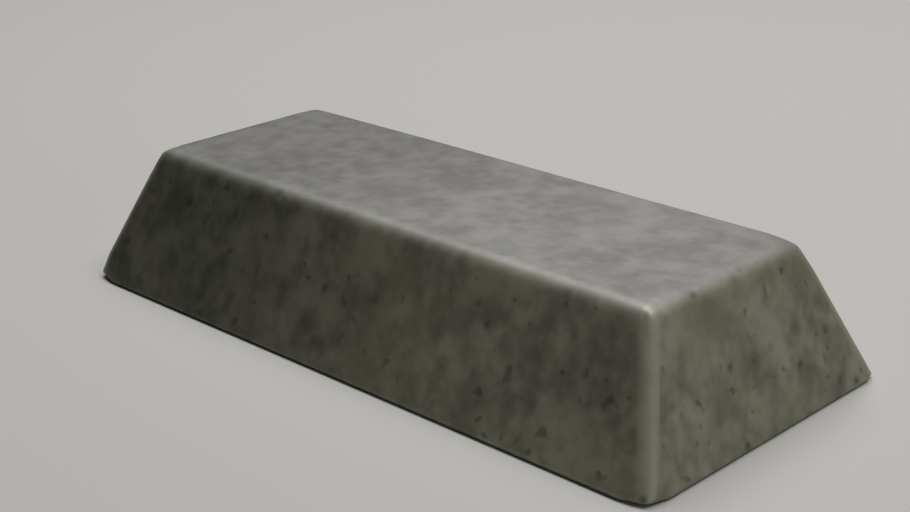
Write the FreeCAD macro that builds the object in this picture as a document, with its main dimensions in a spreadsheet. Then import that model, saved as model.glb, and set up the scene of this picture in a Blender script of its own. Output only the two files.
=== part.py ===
"""Cast steel ingot: one solid bar with a wide base, a narrower flat top and drafted sides.

The bar is cast in an open mould and turned out onto its wide face, so its ends and its long
sides lean in towards the top by the draft of the mould. Its edges are all rounded: most round
the top, less down the four corners, and least round the base.

Frame: millimetres, +X along the length, +Y across the width, +Z up. The origin is the centre
of the base, so the ingot lies on the plane Z = 0.
"""
import FreeCAD
import Part
import Sketcher

import os

DRIVING_SIZES = (
    # alias, value, what it is
    ("base_length", 250, "length of the base to its sharp edges, before rounding, mm"),
    ("base_width", 115, "width of the base to its sharp edges, before rounding, mm"),
    ("ingot_height", 46.5, "height from base to top, mm"),
    ("end_draft", 20, "lean of the two end faces from upright, degrees"),
    ("side_draft", 24.5, "lean of the two long sides from upright, degrees"),
    ("top_edge_radius", 6.5, "rounding of the edges round the top, mm"),
    ("corner_edge_radius", 5.5, "rounding of the four edges between ends and sides, mm"),
    ("base_edge_radius", 1.5, "rounding of the edges round the base, mm"),
)
ON_PLANE = 1e-4  # mm: how near to a level an edge counts as lying in it
OUTPUT_FOLDER = "parts"


def add_size_sheet(doc):
    """The spreadsheet of driving dimensions, one row each: name, value, meaning."""
    sheet = doc.addObject("Spreadsheet::Sheet", "sizes")
    for row, (alias, value, meaning) in enumerate(DRIVING_SIZES, start=1):
        sheet.set(f"A{row}", alias)
        sheet.set(f"B{row}", str(value))
        sheet.setAlias(f"B{row}", alias)
        sheet.set(f"C{row}", meaning)
    doc.recompute()
    return sheet


def base_plane(body):
    """The body's own XY plane, found by its role."""
    return next(f for f in body.Origin.OriginFeatures if f.Role == "XY_Plane")


def add_base_outline(body):
    """The sketch of the base: a rectangle centred on the origin, length along X."""
    sketch = body.newObject("Sketcher::SketchObject", "base_outline")
    sketch.AttachmentSupport = [(base_plane(body), "")]
    sketch.MapMode = "FlatFace"
    corners = [FreeCAD.Vector(x, y, 0) for x, y in ((-2, -1), (2, -1), (2, 1), (-2, 1))]
    for start, end in zip(corners, corners[1:] + corners[:1]):
        sketch.addGeometry(Part.LineSegment(start, end), False)
    front, right, back, left = range(4)
    starts, ends = 1, 2
    sketch_origin = (-1, 1)
    for line, following in ((front, right), (right, back), (back, left), (left, front)):
        sketch.addConstraint(
            Sketcher.Constraint("Coincident", line, ends, following, starts)
        )
    for line in (front, back):
        sketch.addConstraint(Sketcher.Constraint("Horizontal", line))
    for line in (right, left):
        sketch.addConstraint(Sketcher.Constraint("Vertical", line))
    sketch.addConstraint(
        Sketcher.Constraint("Symmetric", front, starts, back, starts, *sketch_origin)
    )
    for kind, line, alias in (
        ("DistanceX", front, "base_length"),
        ("DistanceY", right, "base_width"),
    ):
        index = sketch.addConstraint(Sketcher.Constraint(kind, line, starts, line, ends, 1.0))
        sketch.renameConstraint(index, alias)
        sketch.setExpression(f"Constraints.{alias}", f"sizes.{alias}")
    return sketch


def add_block(body, outline):
    """The outline padded straight up to the height of the ingot."""
    pad = body.newObject("PartDesign::Pad", "block")
    pad.Profile = outline
    pad.setExpression("Length", "sizes.ingot_height")
    body.Document.recompute()
    return pad


def add_draft(body, name, base, outward, draft_alias):
    """Leans the two upright faces along the outward direction in towards the top."""
    faces = [
        f"Face{number}"
        for number, face in enumerate(base.Shape.Faces, start=1)
        if abs(face.normalAt(0, 0).dot(outward)) > 0.99
    ]
    draft = body.newObject("PartDesign::Draft", name)
    draft.Base = (base, faces)
    draft.NeutralPlane = (base_plane(body), [""])
    draft.setExpression("Angle", f"sizes.{draft_alias}")
    body.Document.recompute()
    if not 0 < draft.Shape.Volume < base.Shape.Volume:
        raise RuntimeError(f"{name} did not lean its faces inwards")
    return draft


def edge_names(feature, is_wanted):
    """The names of the feature's edges whose lowest and highest Z pass is_wanted."""
    names = []
    for number, edge in enumerate(feature.Shape.Edges, start=1):
        first, last = edge.ParameterRange
        levels = [edge.valueAt(at).z for at in (first, (first + last) / 2, last)]
        if is_wanted(min(levels), max(levels)):
            names.append(f"Edge{number}")
    return names


def add_rounding(body, name, base, is_wanted, radius_alias):
    """A fillet along the chosen edges, with its radius in the size sheet."""
    fillet = body.newObject("PartDesign::Fillet", name)
    fillet.Base = (base, edge_names(base, is_wanted))
    fillet.setExpression("Radius", f"sizes.{radius_alias}")
    body.Document.recompute()
    if not 0 < fillet.Shape.Volume < base.Shape.Volume:
        raise RuntimeError(f"{name} took nothing off the ingot")
    return fillet


def add_roundings(body, base, sheet):
    """Every edge rounded, the widest radius first so that narrower ones run over it."""
    top = sheet.ingot_height
    roundings = [
        ("top_rounding", "top_edge_radius", lambda low, high: low > top - ON_PLANE),
        ("corner_rounding", "corner_edge_radius", lambda low, high: low < ON_PLANE < high),
        ("base_rounding", "base_edge_radius", lambda low, high: high < ON_PLANE),
    ]
    roundings.sort(key=lambda rounding: -sheet.getPropertyByName(rounding[1]))
    feature = base
    for name, radius_alias, is_wanted in roundings:
        feature = add_rounding(body, name, feature, is_wanted, radius_alias)
    return feature


def add_ingot(doc, sheet):
    """The whole bar as one body: a block, the lean of its faces, then its rounded edges."""
    body = doc.addObject("PartDesign::Body", "ingot")
    body.Label = "ingot"
    block = add_block(body, add_base_outline(body))
    ends = add_draft(body, "end_lean", block, FreeCAD.Vector(1, 0, 0), "end_draft")
    sides = add_draft(body, "side_lean", ends, FreeCAD.Vector(0, 1, 0), "side_draft")
    add_roundings(body, sides, sheet)
    body.Placement = FreeCAD.Placement()
    return body


def check_document(doc):
    """Stops the build if any object of the document failed to compute."""
    for item in doc.Objects:
        failed = {"Invalid", "Error"} & set(item.State)
        if failed:
            raise RuntimeError(f"{item.Name} did not compute: {sorted(failed)}")


def export_subpart(body):
    """Writes the sub-part's one closed solid to its own STEP file, named by its label."""
    shape = body.Shape
    if shape.isNull() or not shape.isValid() or len(shape.Solids) != 1:
        raise RuntimeError(f"{body.Label} is not one valid solid")
    os.makedirs(OUTPUT_FOLDER, exist_ok=True)
    shape.exportStep(os.path.join(OUTPUT_FOLDER, f"{body.Label}.step"))
    print(f"{body.Label}: {shape.Volume / 1000:.1f} cm3, {shape.optimalBoundingBox()}")


def main():
    doc = FreeCAD.newDocument("steel_ingot")
    sheet = add_size_sheet(doc)
    ingot = add_ingot(doc, sheet)
    doc.recompute()
    check_document(doc)
    export_subpart(ingot)


main()
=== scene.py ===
import math

import bpy
from mathutils import Matrix, Vector


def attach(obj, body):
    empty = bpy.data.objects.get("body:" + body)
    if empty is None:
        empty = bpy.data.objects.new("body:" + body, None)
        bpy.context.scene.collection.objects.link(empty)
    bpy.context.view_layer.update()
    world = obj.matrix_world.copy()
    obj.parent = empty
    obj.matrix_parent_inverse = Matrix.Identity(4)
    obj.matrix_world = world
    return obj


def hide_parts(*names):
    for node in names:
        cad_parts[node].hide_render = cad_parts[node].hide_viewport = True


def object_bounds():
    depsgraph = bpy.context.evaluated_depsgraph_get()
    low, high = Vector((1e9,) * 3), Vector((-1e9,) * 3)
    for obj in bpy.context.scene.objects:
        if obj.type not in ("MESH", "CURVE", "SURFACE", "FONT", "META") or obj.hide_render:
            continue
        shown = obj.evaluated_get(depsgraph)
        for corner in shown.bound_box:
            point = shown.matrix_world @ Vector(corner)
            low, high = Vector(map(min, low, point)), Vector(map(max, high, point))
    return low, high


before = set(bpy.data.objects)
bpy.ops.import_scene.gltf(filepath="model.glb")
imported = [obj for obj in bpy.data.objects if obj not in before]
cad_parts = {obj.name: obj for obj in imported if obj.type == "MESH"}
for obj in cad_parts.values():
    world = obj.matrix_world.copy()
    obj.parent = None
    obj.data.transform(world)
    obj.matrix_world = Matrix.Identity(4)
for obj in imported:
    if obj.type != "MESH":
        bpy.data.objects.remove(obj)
cad_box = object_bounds()

# ---------------------------------------------------------------------------------------------
# The studio: a plain pale floor, five soft panels of light and a camera on a short telephoto
# lens. Three panels hang high behind the ingot, so that its top is the brightest face. A low
# one lights the near end, and a small one picks out the rounded corner that points at it.
scene = bpy.context.scene
scene.view_settings.view_transform = "Standard"

world = bpy.data.worlds.new("studio_air")
world.use_nodes = True
world.node_tree.nodes["Background"].inputs["Color"].default_value = (1.0, 1.0, 1.0, 1.0)
world.node_tree.nodes["Background"].inputs["Strength"].default_value = 0.0
scene.world = world

floor_half = 4.0
floor_mesh = bpy.data.meshes.new("studio_floor")
floor_corners = [
    (x * floor_half, y * floor_half, 0.0) for x, y in ((-1, -1), (1, -1), (1, 1), (-1, 1))
]
floor_mesh.from_pydata(floor_corners, [], [(0, 1, 2, 3)])
floor = bpy.data.objects.new("studio_floor", floor_mesh)
scene.collection.objects.link(floor)
floor_paint = bpy.data.materials.new("pale_floor")
floor_paint.use_nodes = True
floor_shader = floor_paint.node_tree.nodes["Principled BSDF"]
floor_shader.inputs["Base Color"].default_value = (0.62, 0.61, 0.59, 1.0)
floor_shader.inputs["Roughness"].default_value = 0.9
floor_mesh.materials.append(floor_paint)


def direction(azimuth, elevation):
    """The way out from the ingot: azimuth 0 is -Y and 90 is +X, both angles in degrees."""
    around = math.radians(azimuth)
    up = math.radians(elevation)
    return Vector(
        (math.sin(around) * math.cos(up), -math.cos(around) * math.cos(up), math.sin(up))
    )


def hang_panel(name, azimuth, elevation, distance, size, watts, tint):
    """A square panel of light that faces the middle of the ingot."""
    lamp = bpy.data.lights.new(name, "AREA")
    lamp.shape = "SQUARE"
    lamp.size = size
    lamp.energy = watts
    lamp.color = tint
    panel = bpy.data.objects.new(name, lamp)
    outward = direction(azimuth, elevation)
    panel.location = outward * distance
    panel.rotation_euler = outward.to_track_quat("Z", "Y").to_euler()
    scene.collection.objects.link(panel)


hang_panel("left_panel", 240, 64, 1.6, 0.7, 10.7, (1.0, 1.0, 0.99))
hang_panel("right_panel", 120, 64, 1.6, 0.7, 8.3, (1.0, 1.0, 0.99))
hang_panel("back_panel", 180, 64, 1.6, 0.7, 3.4, (1.0, 1.0, 0.99))
hang_panel("end_panel", 90, 12, 1.6, 0.7, 1.5, (1.0, 1.0, 0.99))
hang_panel("corner_panel", 45, 38, 1.6, 0.4, 0.52, (1.0, 1.0, 0.94))

box_low, box_high = cad_box
length_over_edges = 0.250
camera_azimuth = 44.422
camera_elevation = 21.024
camera_roll = math.radians(-0.844)
camera_distance = 2.1735 * length_over_edges
camera_focal_length = 65.9829  # millimetres
aim = Vector((-0.0012 * length_over_edges, 0.00285 * length_over_edges, box_high.z / 2))

back = direction(camera_azimuth, camera_elevation)
level_right = direction(camera_azimuth + 90, 0)
level_up = back.cross(level_right)
right = level_right * math.cos(camera_roll) + level_up * math.sin(camera_roll)
up = level_up * math.cos(camera_roll) - level_right * math.sin(camera_roll)
lens = bpy.data.cameras.new("camera")
lens.sensor_width = 36.0
lens.lens = camera_focal_length
lens.clip_end = 20.0
camera = bpy.data.objects.new("camera", lens)
camera.matrix_world = Matrix.Translation(aim + back * camera_distance) @ Matrix(
    (right, up, back)
).transposed().to_4x4()
scene.collection.objects.link(camera)
scene.camera = camera


# ---------------------------------------------------------------------------------------------
# The ingot: one bar of cast steel, poured in an open iron mould and turned out onto its wide
# face. Its sides and ends lean by the draft of the mould and its edges are rounded. The cast
# skin keeps shallow waves, a fine grain and gas pits.
class Wire:
    """A value running through a node tree. Arithmetic on it adds the tree's Math nodes."""

    def __init__(self, tree, socket=None):
        self.tree = tree
        self.socket = socket

    def node(self, kind, settings=None, sockets=None, output=0):
        """Adds a node: its type, then its settings, then values or links for its sockets."""
        added = self.tree.nodes.new(kind)
        for name, value in (settings or {}).items():
            setattr(added, name, value)
        for name, value in (sockets or {}).items():
            if isinstance(value, Wire):
                self.tree.links.new(value.socket, added.inputs[name])
            else:
                added.inputs[name].default_value = value
        return Wire(self.tree, added.outputs[output])

    def math(self, operation, first, second=0.0):
        return self.node("ShaderNodeMath", {"operation": operation}, {0: first, 1: second})

    def __add__(self, other):
        return self.math("ADD", self, other)

    def __sub__(self, other):
        return self.math("SUBTRACT", self, other)

    def __rsub__(self, other):
        return self.math("SUBTRACT", other, self)

    def __mul__(self, other):
        return self.math("MULTIPLY", self, other)

    def __truediv__(self, other):
        return self.math("DIVIDE", self, other)

    __rmul__ = __mul__

    def least(self, other):
        return self.math("MINIMUM", self, other)

    def above(self, level):
        return self.math("GREATER_THAN", self, level)

    def rise(self, low, high):
        """0 up to low and 1 from high, with a smooth rise between them, or a fall if low is more."""
        return self.node(
            "ShaderNodeMapRange",
            {"interpolation_type": "SMOOTHSTEP"},
            {"Value": self, "From Min": low, "From Max": high},
        )

    def stretched(self, x, y, z):
        return self.node("ShaderNodeVectorMath", {"operation": "MULTIPLY"}, {0: self, 1: (x, y, z)})

    def cloud(self, size, detail=2.0, roughness=0.5, seed=0.0):
        """Soft noise about 0.5 whose patches are about this size across, in metres."""
        return self.node(
            "ShaderNodeTexNoise",
            {"noise_dimensions": "4D"},
            {"Vector": self, "W": seed, "Scale": 1 / size, "Detail": detail, "Roughness": roughness},
        )


# the form: how far the faces lean from upright, and the roundings in metres
end_draft = math.radians(20)
side_draft = math.radians(24.5)
top_radius = 0.0065
corner_radius = 0.0055
base_radius = 0.0015


def sharp_half(half, draft):
    """Half a base size to the sharp edge, from half the rounded one."""
    return half + base_radius * ((1 + math.sin(draft)) / math.cos(draft) - 1)


form = bpy.data.node_groups.new("cast_bar", "GeometryNodeTree")
form.interface.new_socket("Geometry", in_out="INPUT", socket_type="NodeSocketGeometry")
form_inputs = {
    "Half Length": sharp_half(box_high.x, end_draft),
    "Half Width": sharp_half(box_high.y, side_draft),
    "Height": box_high.z,
    "Top Radius": top_radius,
    "Corner Radius": corner_radius,
    "Base Radius": base_radius,
    "Top Corner Wear": 0.012,
    "Base Corner Wear": 0.011,
    "Wave Depth": 0.00035,
    "Grain Depth": 0.00006,
    "Pit Depth": 0.00045,
    "Seed": 4.0,
}
for name in form_inputs:
    form.interface.new_socket(name, in_out="INPUT", socket_type="NodeSocketFloat")
form.interface.new_socket("Skin", in_out="INPUT", socket_type="NodeSocketMaterial")
form.interface.new_socket("Geometry", in_out="OUTPUT", socket_type="NodeSocketGeometry")
start = Wire(form)
given = {name: start.node("NodeGroupInput", output=name) for name in (*form_inputs, "Skin")}

quad = 0.00125  # side of the mesh's squares, metres
block_sides = (2 * form_inputs["Half Length"], 2 * form_inputs["Half Width"], box_high.z)
counts = [round(side / quad) + 1 for side in block_sides]
block = start.node(
    "GeometryNodeMeshCube",
    {},
    {
        "Size": start.node(
            "ShaderNodeCombineXYZ",
            {},
            {"X": 2 * given["Half Length"], "Y": 2 * given["Half Width"], "Z": given["Height"]},
        ),
        "Vertices X": counts[0],
        "Vertices Y": counts[1],
        "Vertices Z": counts[2],
    },
)

place = start.node("GeometryNodeInputPosition")
block_x, block_y, block_z = (
    start.node("ShaderNodeSeparateXYZ", {}, {0: place}, output=axis) for axis in "XYZ"
)
level = block_z + given["Height"] / 2
side_of_x = start.math("SIGN", block_x)
side_of_y = start.math("SIGN", block_y)
spot = [
    start.math("ABSOLUTE", block_x) * (1 - level * math.tan(end_draft) / given["Half Length"]),
    start.math("ABSOLUTE", block_y) * (1 - level * math.tan(side_draft) / given["Half Width"]),
    level,
]
# each face: its outward direction and how far out along it the face lies
end_face = ((math.cos(end_draft), 0, math.sin(end_draft)), given["Half Length"] * math.cos(end_draft))
side_face = ((0, math.cos(side_draft), math.sin(side_draft)), given["Half Width"] * math.cos(side_draft))
top_face = ((0, 0, 1), given["Height"])
base_face = ((0, 0, -1), 0.0)


def along(spot, outward):
    """How far out a spot lies in a direction."""
    parts = [where * share for where, share in zip(spot, outward) if share]
    return sum(parts[1:], parts[0])


def round_edge(spot, first, second, radius):
    """Draws a spot that stands outside the round between two faces in onto it."""
    (first_out, first_reach), (second_out, second_reach) = first, second
    lean = sum(a * b for a, b in zip(first_out, second_out))
    past_first = along(spot, first_out) - first_reach + radius
    past_second = along(spot, second_out) - second_reach + radius
    first_share = (past_first - lean * past_second) / (1 - lean * lean)
    second_share = (past_second - lean * past_first) / (1 - lean * lean)
    square = first_share * past_first + second_share * past_second
    reach = start.math("SQRT", square)
    pull = (radius / reach - 1).least(0) * first_share.least(second_share).above(0)
    drawn = []
    for where, a, b in zip(spot, first_out, second_out):
        push = along((first_share, second_share), (a, b)) if a or b else None
        drawn.append(where + pull * push if push else where)
    return drawn


# each time over, the corners where three rounds meet come nearer to true
for _ in range(3):
    spot = round_edge(spot, end_face, side_face, given["Corner Radius"])
    spot = round_edge(spot, end_face, top_face, given["Top Radius"])
    spot = round_edge(spot, side_face, top_face, given["Top Radius"])
    spot = round_edge(spot, end_face, base_face, given["Base Radius"])
    spot = round_edge(spot, side_face, base_face, given["Base Radius"])
rounded = start.node(
    "ShaderNodeCombineXYZ", {}, {"X": spot[0] * side_of_x, "Y": spot[1] * side_of_y, "Z": spot[2]}
)
bar = start.node("GeometryNodeSetPosition", {}, {"Geometry": block, "Position": rounded})


def soften(shape, rounds, share):
    """Evens out the surface over some rounds, by a share from 0 to 1."""
    evened = start.node(
        "GeometryNodeBlurAttribute",
        {"data_type": "FLOAT_VECTOR"},
        {"Value": place, "Iterations": rounds, "Weight": share},
    )
    return start.node("GeometryNodeSetPosition", {}, {"Geometry": shape, "Position": evened})


def keep(shape, name, value):
    """Stores a value on the surface's points, for the skin's colour."""
    return start.node(
        "GeometryNodeStoreNamedAttribute",
        {"data_type": "FLOAT", "domain": "POINT"},
        {"Geometry": shape, "Name": name, "Value": value},
    )


# where three rounds meet, their seam is eased as the mould's corner eases it
place = start.node("GeometryNodeInputPosition")
xyz = [start.node("ShaderNodeSeparateXYZ", {}, {0: place}, output=axis) for axis in "XYZ"]
outer = [start.math("ABSOLUTE", xyz[0]), start.math("ABSOLUTE", xyz[1]), xyz[2]]
end_depth = end_face[1] - along(outer, end_face[0])
side_depth = side_face[1] - along(outer, side_face[0])
top_depth = given["Height"] - xyz[2]
near_top_corner = (
    end_depth.rise(0.008, 0.003) * side_depth.rise(0.008, 0.003) * top_depth.rise(0.009, 0.004)
)
near_base_corner = (
    end_depth.rise(0.0055, 0.0030) * side_depth.rise(0.0055, 0.0030) * xyz[2].rise(0.0050, 0.0025)
)
for corner in (near_top_corner, near_base_corner):
    bar = soften(bar, 8, corner)


# three corners took knocks and wore rounder than the rest: one at the top and two on the base
def away(corner_x, corner_y, corner_z):
    """How far the surface lies from a spot near a corner."""
    spot_there = start.node("ShaderNodeCombineXYZ", {}, {"X": corner_x, "Y": corner_y, "Z": corner_z})
    return start.node(
        "ShaderNodeVectorMath", {"operation": "DISTANCE"}, {0: place, 1: spot_there}, output="Value"
    )


far_knock = away(
    given["Half Length"] - given["Height"] * math.tan(end_draft),
    given["Half Width"] - given["Height"] * math.tan(side_draft),
    given["Height"],
) / given["Top Corner Wear"]
left_end = given["Half Length"] * -1
near_side = given["Half Width"] * -1
left_knock = away(left_end, near_side, 0.0) / given["Base Corner Wear"]
near_knock = away(given["Half Length"], near_side, 0.0) / given["Base Corner Wear"]
for knock, rounds in ((far_knock, 12), (left_knock, 16), (near_knock, 10)):
    bar = soften(bar, rounds, knock.rise(1.0, 0.3))

# edges that knocks and handling have worn, kept for the skin's colour, where they are painted lighter:
# partly wear and partly a painted highlight
deeper = start.math("MAXIMUM", end_depth, side_depth)
upper = start.math("MAXIMUM", start.math("MINIMUM", end_depth, side_depth), top_depth)
corner_rub_and_sheen = deeper.rise(0.0046, 0.0036)
top_rub_and_sheen = upper.rise(0.0050, 0.0016) * 0.25
rubbed_and_sheen = start.math("MAXIMUM", corner_rub_and_sheen, top_rub_and_sheen)
bar = keep(bar, "rubbed_and_sheen", rubbed_and_sheen)

# the cast skin: everything is sunk from the true form, so that the bar keeps its size
normal = start.node("GeometryNodeInputNormal")
facing_up = start.node("ShaderNodeSeparateXYZ", {}, {0: normal}, output="Z")
seed = given["Seed"]
waves = place.cloud(0.055, 1.0, 0.4, seed)
grain = place.cloud(0.007, 3.0, 0.6, seed)
pit_spot = start.node("ShaderNodeCombineXYZ", {}, {"X": xyz[0] + seed, "Y": xyz[1], "Z": xyz[2]})
pit_spacing = 0.011  # metres
pit_field = start.node(
    "ShaderNodeTexVoronoi", {}, {"Vector": pit_spot, "Scale": 1 / pit_spacing}, output="Distance"
)
pit_spread = place.cloud(0.030, 1.0, 0.5, seed + 3).rise(0.32, 0.56)
pit = pit_field.rise(0.19, 0.03) * pit_spread * (1 - 0.75 * facing_up.rise(0.55, 0.95))
sunk = given["Wave Depth"] * waves + given["Grain Depth"] * grain + given["Pit Depth"] * pit
off_base = xyz[2].rise(0.0005, 0.006)
sink = sunk * off_base * -1
bar = keep(bar, "pitted", pit)
bar = keep(bar, "facing_up", facing_up)
inward = start.node("ShaderNodeVectorMath", {"operation": "SCALE"}, {0: normal, "Scale": sink})
bar = start.node("GeometryNodeSetPosition", {}, {"Geometry": bar, "Offset": inward})
bar = start.node("GeometryNodeSetShadeSmooth", {}, {"Geometry": bar})
bar = start.node("GeometryNodeRealizeInstances", {}, {"Geometry": bar})
bar = start.node("GeometryNodeSetMaterial", {}, {"Geometry": bar, "Material": given["Skin"]})
finish = form.nodes.new("NodeGroupOutput")
form.links.new(bar.socket, finish.inputs["Geometry"])

# the skin's finish: dull grey steel, mottled, with olive mould faces painted darker than the top as
# painted shade, a painted shade that darkens the bar towards its -X end, and worn edges painted lighter,
# partly as wear and partly as a painted highlight
steel = bpy.data.materials.new("cast_steel_skin")
steel.use_nodes = True
shader = steel.node_tree.nodes["Principled BSDF"]
paint = Wire(steel.node_tree)
at = paint.node("ShaderNodeTexCoord", output="Object")


def kept(name):
    """A value that was stored on the surface."""
    return paint.node("ShaderNodeAttribute", {"attribute_name": name}, output="Fac")


edge_rub_and_sheen = kept("rubbed_and_sheen")
pits = kept("pitted")
upward = kept("facing_up").rise(0.55, 0.95)


def blend(share, first, second, mode="MIX"):
    """One colour laid over another by a share."""
    return paint.node(
        "ShaderNodeMix",
        {"data_type": "RGBA", "blend_type": mode},
        {"Factor": share, 6: first, 7: second},
        output=2,
    )


drawn_at = at.stretched(1, 1, 0.6)
blotches = at.cloud(0.024, 2.0, 0.5, 6.0)
smudges = drawn_at.cloud(0.0085, 2.0, 0.5, 5.0)
flecks = at.cloud(0.0044, 1.0, 0.5, 8.0)
specks = at.cloud(0.0034, 0.0, 0.5, 15.0).rise(0.70, 0.84) * (1 - upward).least(1 - edge_rub_and_sheen)
mottle = blotches * 0.32 + smudges * 0.43 + flecks * 0.25
tone = mottle.rise(0.36, 0.64)
# painted shade: the faces that lean away from up get a darker copy of the skin than the top, standing in
# for the shade on them; their olive tint is the skin's own
lit_top_skin = blend(tone, (0.240, 0.235, 0.222, 1), (0.335, 0.329, 0.312, 1))
shaded_mould_skin = blend(tone, (0.132, 0.130, 0.099, 1), (0.272, 0.269, 0.208, 1))
olive = at.cloud(0.030, 1.0, 0.5, 21.0).rise(0.46, 0.66)
shaded_mould_skin = blend(olive * 0.4, shaded_mould_skin, (0.238, 0.237, 0.160, 1))
# painted shade: the skin is painted darker towards the bar's -X end and lighter towards +X, standing in
# for how the light falls along it
length_shade = paint.node("ShaderNodeSeparateXYZ", {}, {0: at}, output="X").rise(-0.080, 0.060)
top_length_shade = blend(length_shade, (0.83, 0.83, 0.83, 1), (1.14, 1.14, 1.14, 1))
mould_length_shade = blend(length_shade, (0.66, 0.66, 0.66, 1), (1.30, 1.30, 1.30, 1))
lit_top_skin = blend(1.0, lit_top_skin, top_length_shade, "MULTIPLY")
shaded_mould_skin = blend(1.0, shaded_mould_skin, mould_length_shade, "MULTIPLY")
# painted shade: the lighter lit copy goes on faces that look up, the darker shaded copy on the rest
skin = blend(upward, shaded_mould_skin, lit_top_skin)
bare_edge_and_sheen = (0.42, 0.418, 0.335, 1)
# painted highlight: the worn edges are painted lighter, partly as bare steel and partly standing in for
# the light that glints along them
skin = blend(edge_rub_and_sheen * 0.6, skin, bare_edge_and_sheen)
skin = blend(specks * 0.50, skin, (0.060, 0.058, 0.043, 1))
skin = blend(pits * 0.75, skin, (0.045, 0.043, 0.032, 1))
steel.node_tree.links.new(skin.socket, shader.inputs["Base Color"])
shader.inputs["Metallic"].default_value = 0.45
roughness = 0.62 - 0.10 * edge_rub_and_sheen + 0.10 * (smudges - 0.5)
steel.node_tree.links.new(roughness.socket, shader.inputs["Roughness"])
relief = at.cloud(0.0042, 2.0, 0.5, 11.0) * 0.75 + at.cloud(0.0016, 1.0, 0.5, 12.0) * 0.25
bump = paint.node("ShaderNodeBump", {}, {"Strength": 0.22, "Distance": 0.0004, "Height": relief})
steel.node_tree.links.new(bump.socket, shader.inputs["Normal"])

ingot_mesh = bpy.data.meshes.new("cast_bar")
ingot_form = bpy.data.objects.new("ingot_form", ingot_mesh)
scene.collection.objects.link(ingot_form)
caster = ingot_form.modifiers.new("caster", "NODES")
caster.node_group = form
for item in form.interface.items_tree:
    if item.in_out == "INPUT" and item.name in form_inputs:
        caster[item.identifier] = form_inputs[item.name]
    if item.in_out == "INPUT" and item.name == "Skin":
        caster[item.identifier] = steel
made = ingot_form.evaluated_get(bpy.context.evaluated_depsgraph_get())
cast_mesh = bpy.data.meshes.new_from_object(made)
bpy.data.objects.remove(ingot_form)
cast_mesh.name = "cast_ingot"
ingot = bpy.data.objects.new("cast_ingot", cast_mesh)
scene.collection.objects.link(ingot)
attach(ingot, "root")
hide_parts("ingot")
